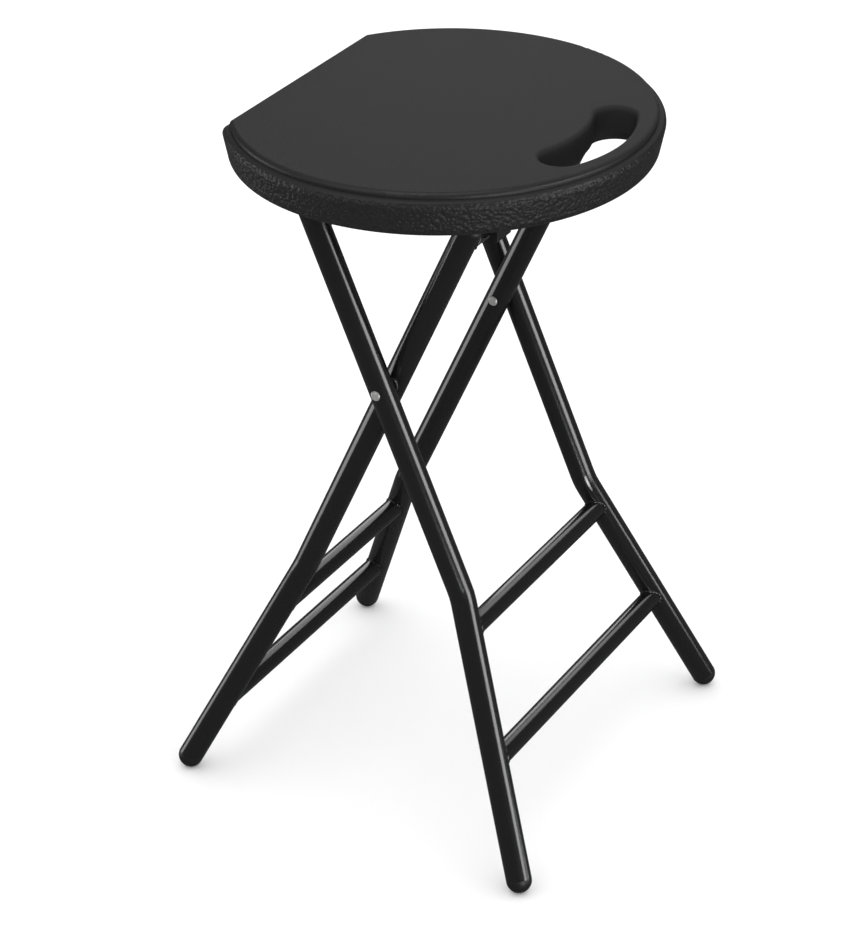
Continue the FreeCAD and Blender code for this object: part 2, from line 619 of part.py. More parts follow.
def seat():
    """One hollow moulded shell: deck, rim, underside, handle tunnel, wells and pillars."""
    thick = size("seat_thickness")
    shoulder = size("seat_thickness") - size("deck_rise")
    shoulder_rule = ref("seat_thickness") + " - " + ref("deck_rise")
    depth = ref("seat_thickness") + " - 2 * " + ref("seat_wall")
    outside = new_body("seat_outside")
    rim = drafted_block(outside, "rim", "0", shoulder_rule, shoulder_rule)
    corners = fillet(outside, "rim_corners", rim, at_chord, ref("seat_corner"))
    rounded = fillet(outside, "shoulder_edge", corners,
                     lambda edge: lies_at(edge, shoulder), ref("seat_shoulder_round"))
    fillet(outside, "bottom_edge", rounded,
           lambda edge: lies_at(edge, 0), ref("seat_bottom_round"))
    deck_plan = oval(outside, "deck_plan", ref("deck_inset"), {"Base.z": ref("seat_thickness")})
    deck = feature(outside, "Pad", "deck", deck_plan, {"Reversed": True},
                   {"Length": ref("deck_rise") + " + " + ref("seat_wall")})
    deck_corners = fillet(outside, "deck_corners", deck,
                          lambda edge: at_chord(edge) and edge.CenterOfMass.z > shoulder,
                          ref("seat_corner") + " - " + ref("deck_inset"))
    fillet(outside, "deck_edge", deck_corners,
           lambda edge: lies_at(edge, thick), ref("deck_round"))
    hole = through(outside, "handle_hole", handle_outline(outside, "handle_plan", "0"))
    beyond = size("handle_lobe_reach") / 2
    fillet(outside, "handle_top_edge", hole,
           lambda edge: lies_at(edge, thick) and edge.CenterOfMass.x > beyond, ref("handle_round"))
    relief = ("grip_outer_reach", ref("grip_back"), ref("grip_aside"))
    relief_plan = handle_outline(outside, "grip_plan", "0", *relief)
    feature(outside, "Pocket", "grip_relief", relief_plan, {"Reversed": True},
            {"Length": ref("grip_depth")})
    wells_plan = new_sketch(outside, "XY_Plane", "wells_plan")
    well_circles(wells_plan, ref("well_radius"))
    feature(outside, "Pocket", "wells", wells_plan, {"Reversed": True},
            {"Length": depth, "TaperAngle": "-" + ref("well_draft")})
    pilots_plan = new_sketch(outside, "XY_Plane", "pilots_plan")
    screw_circles(pilots_plan, ref("screw_hole"))
    feature(outside, "Pocket", "pilots", pilots_plan, {"Reversed": True},
            {"Length": ref("screw_bite") + " + " + ref("cut_margin")})
    vent_plan = new_sketch(outside, "XY_Plane", "vent_plan")
    circle(vent_plan, ref("vent_x") + " - " + ref("seat_x"), "0", ref("vent_radius"))
    feature(outside, "Pocket", "vent", vent_plan, {"Reversed": True},
            {"Length": "2 * " + ref("seat_wall")})
    inside = new_body("seat_inside")
    core = drafted_block(inside, "core", ref("seat_wall"),
                         shoulder_rule + " - " + ref("seat_wall"), depth + " - " + ref("deck_rise"))
    core_top = size("seat_thickness") - size("deck_rise") - size("seat_wall")
    skin = " - " + ref("seat_wall")
    core_corners = fillet(inside, "core_corners", core, at_chord, ref("seat_corner") + skin)
    core_shoulder = fillet(inside, "core_shoulder", core_corners,
                           lambda edge: lies_at(edge, core_top), ref("seat_shoulder_round") + skin)
    fillet(inside, "core_bottom_edge", core_shoulder,
           lambda edge: lies_at(edge, size("seat_wall")), ref("seat_bottom_round") + skin)
    attic_plan = oval(inside, "deck_core_plan", ref("deck_inset") + " + " + ref("seat_wall"),
                      {"Base.z": ref("seat_thickness") + " - " + ref("seat_wall")})
    feature(inside, "Pad", "deck_core", attic_plan, {"Reversed": True},
            {"Length": ref("deck_rise") + " + " + ref("seat_wall")})
    through(inside, "tunnel", handle_outline(inside, "tunnel_plan", ref("seat_wall")))
    floor_plan = handle_outline(inside, "relief_floor_plan", ref("seat_wall"), *relief)
    feature(inside, "Pocket", "relief_floor", floor_plan, {"Reversed": True},
            {"Length": ref("grip_depth") + " + " + ref("seat_wall")})
    walls_plan = new_sketch(inside, "XY_Plane", "well_walls_plan")
    well_circles(walls_plan, ref("well_radius") + " + " + ref("seat_wall"))
    through(inside, "well_walls", walls_plan)
    bosses_plan = new_sketch(inside, "XY_Plane", "bosses_plan")
    screw_circles(bosses_plan, ref("boss_radius"))
    through(inside, "bosses", bosses_plan)
    shell = doc.addObject("Part::Cut", "seat_shell")
    shell.Label = "seat_shell"
    shell.Base = outside
    shell.Tool = inside
    stand(shell, ref("seat_x"), ref("seat_bottom"))
    return shell


keep(seat())


# Blocks under the seat, drawn round the axis of their tube

def flanged_block(name, half, under):
    """A moulded block from the seat's underside down past its tube, with a flange each way. Its
    lower outline runs through the corners given, from one side to the other."""
    body = new_body(name + "_left")
    across = {"Base.z": "-" + ref("block_offset")}
    profile = new_sketch(body, "XZ_Plane", name + "_profile", across)
    top, shelf = ref("tube_drop"), ref("tube_drop") + " - " + ref("flange_thickness")
    reach = ref(half) + " + " + ref("flange_reach")
    outline(profile, under + [(ref(half), shelf), (reach, shelf), (reach, top),
                              ("-(" + reach + ")", top), ("-(" + reach + ")", shelf),
                              ("-" + ref(half), shelf)])
    feature(body, "Pad", name + "_pad", profile, {"SideType": "Symmetric"},
            {"Length": ref("block_width")})
    return body


def flange_holes(body, name, fixing):
    holes = new_sketch(body, "XY_Plane", name + "_flange_holes")
    for side in ("", "-"):
        circle(holes, side + ref(fixing), ref("block_offset"), ref("screw_hole"))
    through(body, name + "_flange_cuts", holes)


def hinge_block():
    """Its half-round saddle sits on the upper half of the hinge tube."""
    sides = [("-" + ref("hinge_half"), "0"), (ref("hinge_half"), "0")]
    body = flanged_block("hinge_block", "hinge_half", sides)
    saddle = new_sketch(body, "XZ_Plane", "hinge_saddle")
    circle(saddle, "0", "0", ref("saddle_radius"))
    through(body, "hinge_saddle_cut", saddle)
    pilots = new_sketch(body, "XY_Plane", "strap_pilots")
    for side in ("", "-"):
        circle(pilots, side + ref("strap_fixing"), ref("block_offset"), ref("screw_hole"))
    feature(body, "Pocket", "strap_pilot_cuts", pilots, {"Reversed": True},
            {"Length": ref("strap_screw_length") + " + " + ref("cut_margin")})
    flange_holes(body, "hinge_block", "hinge_fixing")
    stand(body, ref("outer_tube_x"), ref("tube_height"))
    return body


def hinge_strap():
    """A steel strap bent round the lower half of the hinge tube, flat on the block beside it."""
    body = new_body("hinge_strap_left")
    outer_radius = "(" + ref("saddle_radius") + " + " + ref("strap_thickness") + ")"
    across = {"Base.z": "-" + ref("block_offset")}
    plate = new_sketch(body, "XZ_Plane", "strap_plate", across)
    outline(plate, [("-" + ref("hinge_half"), "-" + ref("strap_thickness")),
                    (ref("hinge_half"), "-" + ref("strap_thickness")), (ref("hinge_half"), "0"),
                    ("-" + ref("hinge_half"), "0")])
    width = {"Length": ref("strap_width")}
    feature(body, "Pad", "strap_flat", plate, {"SideType": "Symmetric"}, width)
    arch = new_sketch(body, "XZ_Plane", "strap_arch", across)
    radius = worth(outer_radius)
    ring = Part.Circle(Vector(0, 0, 0), Vector(0, 0, 1), radius)
    arc = arch.addGeometry(Part.ArcOfCircle(ring, math.pi, 2 * math.pi), False)
    line = arch.addGeometry(Part.LineSegment(Vector(-radius, 0, 0), Vector(radius, 0, 0)), False)
    arch.addConstraint(Sketcher.Constraint("Coincident", arc, 1, line, 1))
    arch.addConstraint(Sketcher.Constraint("Coincident", arc, 2, line, 2))
    arch.addConstraint(Sketcher.Constraint("Coincident", arc, 3, -1, 1))
    pin(arch, line, 1, "-" + outer_radius, "0")
    arch.addConstraint(Sketcher.Constraint("PointOnObject", line, 2, -1))
    feature(body, "Pad", "strap_round", arch, {"SideType": "Symmetric"}, width)
    bore = new_sketch(body, "XZ_Plane", "strap_bore")
    circle(bore, "0", "0", ref("saddle_radius"))
    through(body, "strap_bore_cut", bore)
    holes = new_sketch(body, "XY_Plane", "strap_holes")
    for side in ("", "-"):
        circle(holes, side + ref("strap_fixing"), ref("block_offset"), ref("screw_hole"))
    through(body, "strap_cuts", holes)
    stand(body, ref("outer_tube_x"), ref("tube_height"))
    return body


def latch_block():
    """It is open below: the handle side holds the tube back, and a ramp on the other side lets
    it drop out and leads it in again."""
    lip = "-" + ref("latch_lip")
    sides = [("-" + ref("latch_half"), "0"), ("0", "0"), ("0", lip), (ref("latch_half"), lip)]
    body = flanged_block("latch_block", "latch_half", sides)
    channel = new_sketch(body, "XZ_Plane", "latch_channel")
    radius, ramp = ref("latch_radius"), ref("latch_ramp")
    touch_x, touch_z = "-" + radius + " * cos(" + ramp + ")", radius + " * sin(" + ramp + ")"
    depth = "(" + ref("latch_lip") + " + " + ref("cut_margin") + ")"
    foot_x = touch_x + " - (" + touch_z + " + " + depth + ") * tan(" + ramp + ")"
    touch = Vector(worth(touch_x), worth(touch_z), 0)
    foot = Vector(worth(foot_x), -worth(depth), 0)
    right, corner = Vector(worth(radius), 0, 0), Vector(worth(radius), -worth(depth), 0)
    ring = Part.Circle(Vector(0, 0, 0), Vector(0, 0, 1), worth(radius))
    arc = channel.addGeometry(Part.ArcOfCircle(ring, 0, math.pi - math.radians(worth(ramp))), False)
    slope = channel.addGeometry(Part.LineSegment(touch, foot), False)
    base = channel.addGeometry(Part.LineSegment(foot, corner), False)
    wall = channel.addGeometry(Part.LineSegment(corner, right), False)
    channel.addConstraint(Sketcher.Constraint("Coincident", arc, 2, slope, 1))
    channel.addConstraint(Sketcher.Constraint("Coincident", slope, 2, base, 1))
    channel.addConstraint(Sketcher.Constraint("Coincident", base, 2, wall, 1))
    channel.addConstraint(Sketcher.Constraint("Coincident", wall, 2, arc, 1))
    channel.addConstraint(Sketcher.Constraint("Coincident", arc, 3, -1, 1))
    pin(channel, wall, 2, radius, "0")
    pin(channel, base, 2, radius, "-" + depth)
    pin(channel, slope, 2, foot_x, "-" + depth)
    measure(channel, "DistanceX", (arc, 2, -1, 1), radius + " * cos(" + ramp + ")")
    through(body, "latch_channel_cut", channel)
    flange_holes(body, "latch_block", "latch_fixing")
    stand(body, ref("inner_tube_x"), ref("tube_height"))
    return body


def screws(name, spots, seat_rule, length_rule):
    """Pan-head screws driven upwards: each a shank and a head, grouped as one node."""
    parts = []
    for index, (x_rule, y_rule) in enumerate(spots, 1):
        shank = doc.addObject("Part::Cylinder", "%s_shank_%d" % (name, index))
        head = doc.addObject("Part::Cone", "%s_head_%d" % (name, index))
        place = {"Placement.Base.x": x_rule, "Placement.Base.y": y_rule}
        bind(shank, dict(place, **{"Radius": ref("screw_radius"), "Height": length_rule,
                                   "Placement.Base.z": seat_rule}))
        under = seat_rule + " - " + ref("screw_head_height")
        bind(head, dict(place, **{"Radius1": ref("screw_crown"),
                                  "Radius2": ref("screw_head_radius"),
                                  "Height": ref("screw_head_height"), "Placement.Base.z": under}))
        screw = doc.addObject("Part::Fuse", "%s_%d" % (name, index))
        screw.Base = shank
        screw.Tool = head
        parts.append(screw)
    group = doc.addObject("Part::Compound", name)
    group.Label = name
    group.Links = parts
    return group


keep_pair(hinge_block(), "hinge_block_right")
keep_pair(hinge_strap(), "hinge_strap_right")
keep_pair(latch_block(), "latch_block_right")
under_flange = ref("seat_bottom") + " - " + ref("flange_thickness")
fixing_length = ref("screw_bite") + " + " + ref("flange_thickness")
keep(screws("hinge_block_screws", fixings()[:4], under_flange, fixing_length))
keep(screws("latch_block_screws", fixings()[4:], under_flange, fixing_length))
strap_spots = [(ref("outer_tube_x") + sign + ref("strap_fixing"), side + ref("block_offset"))
               for sign in (" - ", " + ") for side in ("", "-")]
keep(screws("strap_screws", strap_spots, ref("tube_height") + " - " + ref("strap_thickness"),
            ref("strap_screw_length") + " + " + ref("strap_thickness")))


# Every object has to be sound before its file is written
doc.recompute()
for item in doc.Objects:
    if "Invalid" in item.State or "Error" in item.State:
        raise RuntimeError("failed: " + item.Name)
for piece in pieces:
    if piece.Shape.isNull() or not piece.Shape.isValid() or not piece.Shape.Solids:
        raise RuntimeError("bad shape: " + piece.Label)
os.makedirs("parts", exist_ok=True)
for piece in pieces:
    piece.Shape.exportStep("parts/" + piece.Label + ".step")
    print(piece.Label, len(piece.Shape.Solids), "solid(s),", round(piece.Shape.Volume), "mm3")
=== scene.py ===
import json
import math
import bmesh
import bpy
from mathutils import Matrix, Vector


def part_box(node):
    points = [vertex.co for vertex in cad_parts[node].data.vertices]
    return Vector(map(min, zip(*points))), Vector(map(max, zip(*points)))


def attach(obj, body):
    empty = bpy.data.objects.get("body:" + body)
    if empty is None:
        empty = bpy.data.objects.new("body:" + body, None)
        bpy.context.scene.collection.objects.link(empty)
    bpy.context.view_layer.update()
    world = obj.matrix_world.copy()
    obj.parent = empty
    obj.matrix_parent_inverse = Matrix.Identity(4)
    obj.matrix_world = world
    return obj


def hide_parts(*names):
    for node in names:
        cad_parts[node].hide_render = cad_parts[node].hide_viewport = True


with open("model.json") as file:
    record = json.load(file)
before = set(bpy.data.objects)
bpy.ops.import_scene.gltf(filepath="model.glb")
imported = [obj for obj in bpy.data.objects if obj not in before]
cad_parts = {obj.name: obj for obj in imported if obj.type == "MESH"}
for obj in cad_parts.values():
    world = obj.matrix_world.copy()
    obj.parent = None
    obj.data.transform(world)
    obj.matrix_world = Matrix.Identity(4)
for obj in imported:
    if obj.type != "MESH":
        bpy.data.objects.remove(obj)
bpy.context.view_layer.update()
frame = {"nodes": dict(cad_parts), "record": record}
nodes = frame["nodes"]
scene = bpy.context.scene


# Camera. The photograph looks down on the handle side from the stool's right, from far off
# with a long lens, so the legs hardly converge. It aims just under the crossing of the frames.
VIEW_TURN = math.radians(28.816)
VIEW_DOWN = math.radians(28.493)
VIEW_DISTANCE = 2.7
AIM = Vector((0.021, -0.0743, 0.3112))

camera = bpy.data.objects.new("camera", bpy.data.cameras.new("camera"))
camera.data.sensor_fit = "VERTICAL"
camera.data.sensor_height = camera.data.sensor_width
camera.data.lens = 122.52
camera.location = AIM + VIEW_DISTANCE * Vector((math.sin(VIEW_TURN) * math.cos(VIEW_DOWN),
                                                -math.cos(VIEW_TURN) * math.cos(VIEW_DOWN),
                                                math.sin(VIEW_DOWN)))
camera.rotation_euler = (math.pi / 2 - VIEW_DOWN, 0, VIEW_TURN)
scene.collection.objects.link(camera)
scene.camera = camera


# Floor and light. A white room lights everything evenly, but gloss sees it dim and doesn't see
# the floor, as the black tubes are dark between their streaks. Soft lights that show in gloss
# alone give the streaks on the tubes and the faint light along the seat's edge and rim.
FLOOR_SIZE = 40.0
ROOM_LIGHT = 1.3
ROOM_LIGHT_IN_GLOSS = 0.12
LIGHTS = [
    # name, place, aim, width, height, watts
    # right and left for the legs, behind for the rungs, and front for the rungs seen from behind
    ("right", (2.45, 0.18, 0.75), (0, 0, 0.5), 1.15, 0.8, 24),
    ("right_low", (2.2, 0.94, -0.02), (0.16, 0.15, 0.1), 0.5, 0.2, 2.5),
    ("left", (-2.52, -0.62, -0.04), (0, 0, 0.3), 1.1, 1.0, 12),
    ("behind", (-1.02, 1.7, 1.09), (0, 0, 0.13), 0.8, 0.7, 6.0),
    ("behind_high", (-0.12, 1.76, 1.6), (0, 0, 0.13), 1.35, 0.5, 6.2),
    ("above", (0.25, -0.45, 2.53), (0, 0, 0.6), 1.0, 1.0, 20),
    ("front", (-0.5, -1.75, 1.35), (0, 0, 0.13), 1.2, 0.8, 6),
    ("front_low", (1.36, -0.82, -0.01), (0.05, -0.12, 0.59), 0.5, 0.4, 14),
]


def srgb(code):
    """A hex colour such as #1c1c1c as linear red, green, blue and alpha."""
    parts = [int(code[at:at + 2], 16) / 255 for at in (1, 3, 5)]
    return [part / 12.92 if part < 0.04045 else ((part + 0.055) / 1.055) ** 2.4
            for part in parts] + [1.0]


def add(tree, kind, inputs=None, **settings):
    """Adds a shader node. An input is a value, or another node's output to link."""
    made = tree.nodes.new("ShaderNode" + kind)
    for name, value in settings.items():
        setattr(made, name, value)
    for name, value in (inputs or {}).items():
        if isinstance(value, bpy.types.NodeSocket):
            tree.links.new(value, made.inputs[name])
        else:
            made.inputs[name].default_value = value
    return made


def new_material(name):
    """An empty material with its node tree."""
    material = bpy.data.materials.new(name)
    material.use_nodes = True
    material.node_tree.nodes.clear()
    return material, material.node_tree


def show(tree, shader):
    add(tree, "OutputMaterial", {"Surface": shader.outputs[0]})


def new_object(name, shape, material):
    """Makes a bmesh into a smoothly shaded object."""
    mesh = bpy.data.meshes.new(name)
    shape.to_mesh(mesh)
    shape.free()
    mesh.shade_smooth()
    mesh.materials.append(material)
    made = bpy.data.objects.new(name, mesh)
    scene.collection.objects.link(made)
    return made


floor_paint, tree = new_material("floor_paint")
show(tree, add(tree, "BsdfDiffuse", {"Color": srgb("#fafafa")}))

shape = bmesh.new()
bmesh.ops.create_grid(shape, size=FLOOR_SIZE / 2)
floor = new_object("floor", shape, floor_paint)
floor.visible_glossy = False

for name, place, aim, width, depth, watts in LIGHTS:
    lamp = bpy.data.lights.new(name, "AREA")
    lamp.shape = "RECTANGLE"
    lamp.size, lamp.size_y = width, depth
    lamp.energy = watts
    light = bpy.data.objects.new(name, lamp)
    light.location = place
    light.rotation_euler = (Vector(place) - Vector(aim)).to_track_quat("Z", "Y").to_euler()
    light.visible_camera = False
    light.visible_diffuse = False
    scene.collection.objects.link(light)

world = bpy.data.worlds.new("studio")
world.use_nodes = True
world.node_tree.nodes.clear()
ray = add(world.node_tree, "LightPath")
strength = add(world.node_tree, "MapRange", {"Value": ray.outputs["Is Glossy Ray"],
                                             "To Min": ROOM_LIGHT, "To Max": ROOM_LIGHT_IN_GLOSS})
room = add(world.node_tree, "Background", {"Color": srgb("#ffffff"),
                                           "Strength": strength.outputs["Result"]})
add(world.node_tree, "OutputWorld", {"Surface": room.outputs["Background"]})
scene.world = world
scene.view_settings.view_transform = "Standard"


# Frames. Each is round steel tube, bent, sawn and welded, then dipped in black gloss enamel.
# The enamel is smooth but for a faint orange peel.
MM = 0.001
ORANGE_PEEL = 3 * MM
PEEL_DEPTH = 0.1 * MM

enamel, tree = new_material("black_enamel")
place = add(tree, "TexCoord").outputs["Object"]
peel = add(tree, "TexNoise", {"Vector": place, "Scale": 1 / ORANGE_PEEL, "Detail": 2.0})
relief = add(tree, "Bump", {"Height": peel.outputs["Fac"], "Strength": 0.06, "Distance": PEEL_DEPTH})
haze = add(tree, "MapRange", {"Value": peel.outputs["Fac"], "To Min": 0.16, "To Max": 0.24})
show(tree, add(tree, "BsdfPrincipled", {"Base Color": srgb("#151516"),
                                        "Roughness": haze.outputs["Result"],
                                        "Normal": relief.outputs["Normal"]}))


def finish_node(name, material):
    """Gives a CAD node its material."""
    slots = nodes[name].data.materials
    slots.clear()
    slots.append(material)


for name in nodes:
    if name.endswith(("_tube", "_rung", "_leg_left", "_leg_right")):
        finish_node(name, enamel)


# Weld beads. The rungs and cross tubes are sawn to a saddle and set against the legs, and a wire
# weld goes round each end. Enamel covers it, so that it shows as a low rippled collar.
BEAD = 1.3 * MM
BEAD_SIDES = 8
BEAD_STEPS = 72
RIPPLES = 18
RIPPLE_DEPTH = 0.12
LEG_RADIUS = 11 * MM
FRAMES = [
    # body, lean in degrees, side it leans to, then in mm leg offset, bend height and foot offset,
    # cross tube, rungs
    ("outer_frame", 23.6, 1, 115.8, 225.0, 187.0, "outer_top_tube",
     ("outer_upper_rung", "outer_lower_rung")),
    ("inner_frame", 24.2, -1, 91.5, 195.0, 159.0, "inner_top_tube",
     ("inner_upper_rung", "inner_lower_rung")),
]
pivot = Vector(next(joint["pos_m"] for joint in frame["record"]["behaviour"]["joints"]
                    if joint["name"] == "leg_fold"))


def saddle_depth(around, along, radius):
    """How far towards the stool's middle a leg's surface is from the leg's axis, beside it."""
    across = Vector((0, -1, 0))
    beside = around - around.dot(along) * along
    inwards = across - across.dot(along) * along
    half = beside.dot(inwards) / inwards.length_squared
    rest = half ** 2 - (beside.length_squared - radius ** 2) / inwards.length_squared
    return math.sqrt(max(rest, 0)) - half


def add_bead(shape, middle, radius, along, side):
    """Adds a bead round a tube along Y, where it meets the leg that runs along its own line."""
    ring = bmesh.ops.create_circle(shape, segments=BEAD_SIDES, radius=BEAD)["verts"]
    bmesh.ops.rotate(shape, verts=ring, matrix=Matrix.Rotation(math.pi / BEAD_SIDES, 3, "Z"))
    bmesh.ops.translate(shape, verts=ring, vec=(radius, 0, 0))
    edges = list({edge for vert in ring for edge in vert.link_edges})
    bmesh.ops.spin(shape, geom=ring + edges, cent=(0, 0, 0), axis=(0, 1, 0), angle=math.tau,
                   steps=BEAD_STEPS, use_merge=True)
    bead = {vert for vert in shape.verts if not vert.tag}
    for vert in bead:
        vert.tag = True
        turn = math.atan2(vert.co.z, vert.co.x)
        core = Vector((math.cos(turn), 0, math.sin(turn))) * radius
        swell = 1 + RIPPLE_DEPTH * math.sin(RIPPLES * turn)
        place = core + (vert.co - core) * swell
        place.y -= saddle_depth(core, along, LEG_RADIUS)
        vert.co = middle + Vector((place.x, side * place.y, place.z))


for body, lean, way, offset, bend_height, foot_offset, cross_tube, rungs in FRAMES:
    slope = math.tan(math.radians(lean))
    upper = Vector((way * slope, 0, -1)).normalized()
    bend_z, foot_z = bend_height * MM, LEG_RADIUS
    spread = (foot_offset - offset) * MM / (bend_z - foot_z)
    lower = Vector((way * slope, spread, -1)).normalized()
    shape = bmesh.new()
    for tube in (cross_tube,) + rungs:
        low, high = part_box(tube)
        height = (low[2] + high[2]) / 2
        centre_x = pivot.x + way * (pivot.z - height) * slope
        reach = offset * MM
        along = upper
        if tube in rungs:
            reach += (bend_z - height) * spread
            along = lower
        for side in (1, -1):
            add_bead(shape, Vector((centre_x, side * reach, height)), (high[2] - low[2]) / 2,
                     along, side)
    bmesh.ops.recalc_face_normals(shape, faces=shape.faces)
    beads = new_object(body.replace("_frame", "_weld_beads"), shape, enamel)
    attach(beads, body)


# Foot caps and tube plugs. They are pushed in, moulded in black polyethylene, a little less
# glossy than the enamel, with the faint grain of a spark-eroded mould.
CAP_GRAIN = 0.8 * MM
CAP_GRAIN_DEPTH = 0.1 * MM

cap_plastic, tree = new_material("polyethylene_caps")
place = add(tree, "TexCoord").outputs["Object"]
grain = add(tree, "TexNoise", {"Vector": place, "Scale": 1 / CAP_GRAIN, "Detail": 2.0})
relief = add(tree, "Bump", {"Height": grain.outputs["Fac"], "Strength": 0.15,
                            "Distance": CAP_GRAIN_DEPTH})
show(tree, add(tree, "BsdfPrincipled", {"Base Color": srgb("#121212"), "Roughness": 0.5,
                                        "Normal": relief.outputs["Normal"]}))
for name in nodes:
    if "_cap_" in name or "_plug_" in name:
        finish_node(name, cap_plastic)


# Spacers, straps and screws. All are steel, stamped or turned, with dull zinc plate that has a
# mottled grey bloom. The spacers are flat washers that keep their CAD shape.
BLOOM_SPOT = 2 * MM

zinc, tree = new_material("dull_zinc_plate")
place = add(tree, "TexCoord").outputs["Object"]
bloom = add(tree, "TexNoise", {"Vector": place, "Scale": 1 / BLOOM_SPOT, "Detail": 4.0})
tarnish = add(tree, "MapRange", {"Value": bloom.outputs["Fac"], "To Min": 0.32, "To Max": 0.5})
tint = add(tree, "ValToRGB", {"Fac": bloom.outputs["Fac"]})
tint.color_ramp.elements[0].position = 0.35
tint.color_ramp.elements[0].color = srgb("#787978")
tint.color_ramp.elements[1].position = 0.65
tint.color_ramp.elements[1].color = srgb("#a4a4a1")
show(tree, add(tree, "BsdfPrincipled", {"Base Color": tint.outputs["Color"], "Metallic": 1.0,
                                        "Roughness": tarnish.outputs["Result"]}))
for name in nodes:
    if name.startswith("pivot_spacer"):
        finish_node(name, zinc)


# Pivot rivets. Each is a steel pin with a domed head at both ends, and the riveting punch leaves
# a shallow dimple in the middle of each head. Their zinc plate is bright and light grey.
RIVET_STEPS = 40
RIVET_ROUNDS = 2
HEAD_HEIGHT = 1.9 * MM
DIMPLE_RADIUS = 1.5 * MM
DIMPLE_DEPTH = 0.25 * MM
DIMPLE_LIP = 0.1 * MM
CROWN_DROP = 0.35 * MM
SHANK_RADIUS = 2.9 * MM
BRIGHT_SPOT = 1.5 * MM
MERGE = 0.002 * MM

bright_zinc, tree = new_material("bright_zinc_plate")
place = add(tree, "TexCoord").outputs["Object"]
bloom = add(tree, "TexNoise", {"Vector": place, "Scale": 1 / BRIGHT_SPOT, "Detail": 3.0})
tint = add(tree, "ValToRGB", {"Fac": bloom.outputs["Fac"]})
tint.color_ramp.elements[0].position = 0.3
tint.color_ramp.elements[0].color = srgb("#a0a09e")
tint.color_ramp.elements[1].position = 0.7
tint.color_ramp.elements[1].color = srgb("#b0b0ae")
show(tree, add(tree, "BsdfPrincipled", {"Base Color": tint.outputs["Color"], "Metallic": 0.5,
                                        "Roughness": 0.35}))

for side in ("left", "right"):
    node = "pivot_rivet_" + side
    low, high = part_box(node)
    head = (high[2] - low[2]) / 2
    # radius and depth under the head's highest point, from the middle of the dimple to the shank
    profile = [(0, DIMPLE_DEPTH), (DIMPLE_RADIUS * 0.6, DIMPLE_DEPTH * 0.8),
               (DIMPLE_RADIUS, DIMPLE_LIP), (DIMPLE_RADIUS * 1.3, 0), (head * 0.75, CROWN_DROP),
               (head, HEAD_HEIGHT * 0.75), (head, HEAD_HEIGHT), (head * 0.97, HEAD_HEIGHT),
               (SHANK_RADIUS, HEAD_HEIGHT), (SHANK_RADIUS, HEAD_HEIGHT * 1.1)]
    shape = bmesh.new()
    outline = []
    for end, inwards in ((low[1], 1), (high[1], -1)):
        outline.append([shape.verts.new((pivot.x + radius, end + inwards * depth, pivot.z))
                        for radius, depth in profile])
    chain = outline[0] + outline[1][::-1]
    edges = [shape.edges.new(pair) for pair in zip(chain, chain[1:])]
    bmesh.ops.spin(shape, geom=chain + edges, cent=pivot, axis=(0, 1, 0), angle=math.tau,
                   steps=RIVET_STEPS, use_merge=True)
    bmesh.ops.remove_doubles(shape, verts=shape.verts, dist=MERGE)
    bmesh.ops.recalc_face_normals(shape, faces=shape.faces)
    rivet = new_object("riveted_pin_" + side, shape, bright_zinc)
    rounding = rivet.modifiers.new("rounding", "SUBSURF")
    rounding.levels = rounding.render_levels = RIVET_ROUNDS
    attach(rivet, "outer_frame")
    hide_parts(node)


# Blocks. Glass-filled nylon mouldings with a satin face, softly rounded along every edge, as
# a moulding is, and screwed up into the seat.
BLOCK_ROUND = 0.8 * MM
BLOCK_GRAIN = 0.5 * MM
BLOCK_GRAIN_DEPTH = 0.1 * MM
SHARP = math.radians(30)
FLAT = math.radians(1)


def eased_copy(name, new_name, material, width):
    """A merged copy of a CAD node with its edges rounded, which stands for the node."""
    shape = bmesh.new()
    shape.from_mesh(nodes[name].data)
    bmesh.ops.remove_doubles(shape, verts=shape.verts, dist=MERGE)
    bmesh.ops.dissolve_limit(shape, angle_limit=FLAT, verts=shape.verts, edges=shape.edges)
    copy = new_object(new_name, shape, material)
    copy.data.set_sharp_from_angle(angle=SHARP)
    edge = copy.modifiers.new("rounded_edges", "BEVEL")
    edge.limit_method = "ANGLE"
    edge.angle_limit = SHARP
    edge.width = width
    edge.segments = 3
    edge.harden_normals = True
    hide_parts(name)
    return copy


nylon, tree = new_material("moulded_nylon")
place = add(tree, "TexCoord").outputs["Object"]
grain = add(tree, "TexNoise", {"Vector": place, "Scale": 1 / BLOCK_GRAIN, "Detail": 3.0})
relief = add(tree, "Bump", {"Height": grain.outputs["Fac"], "Strength": 0.2,
                            "Distance": BLOCK_GRAIN_DEPTH})
show(tree, add(tree, "BsdfPrincipled", {"Base Color": srgb("#161616"), "Roughness": 0.45,
                                        "Normal": relief.outputs["Normal"]}))
for kind in ("hinge_block", "latch_block"):
    for side in ("left", "right"):
        block = eased_copy(kind + "_" + side, "moulded_" + kind + "_" + side, nylon, BLOCK_ROUND)
        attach(block, "seat")


# Straps. Zinc-plated steel strip, blanked and bent round the cross tube, with the slightly
# rolled edge that blanking leaves.
STRAP_ROUND = 0.35 * MM

for side in ("left", "right"):
    strap = eased_copy("hinge_strap_" + side, "pressed_strap_" + side, zinc, STRAP_ROUND)
    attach(strap, "seat")


# Screws. Pan-head thread-forming screws with a cross recess, four to each pair of blocks and four
# in the straps, driven up into the seat's bosses.
HEAD_RADIUS = 4.2 * MM
HEAD_STEPS = 24
RECESS_REACH = 2.3 * MM
RECESS_HALF = 0.6 * MM
RECESS_DEPTH = 1.4 * MM
RECESS_TAPER = 0.6
THREAD_RADIUS = 2.2 * MM
POINT_RADIUS = 0.5 * MM
POINT_LENGTH = 3 * MM
FACE_RADIUS = 3.0 * MM
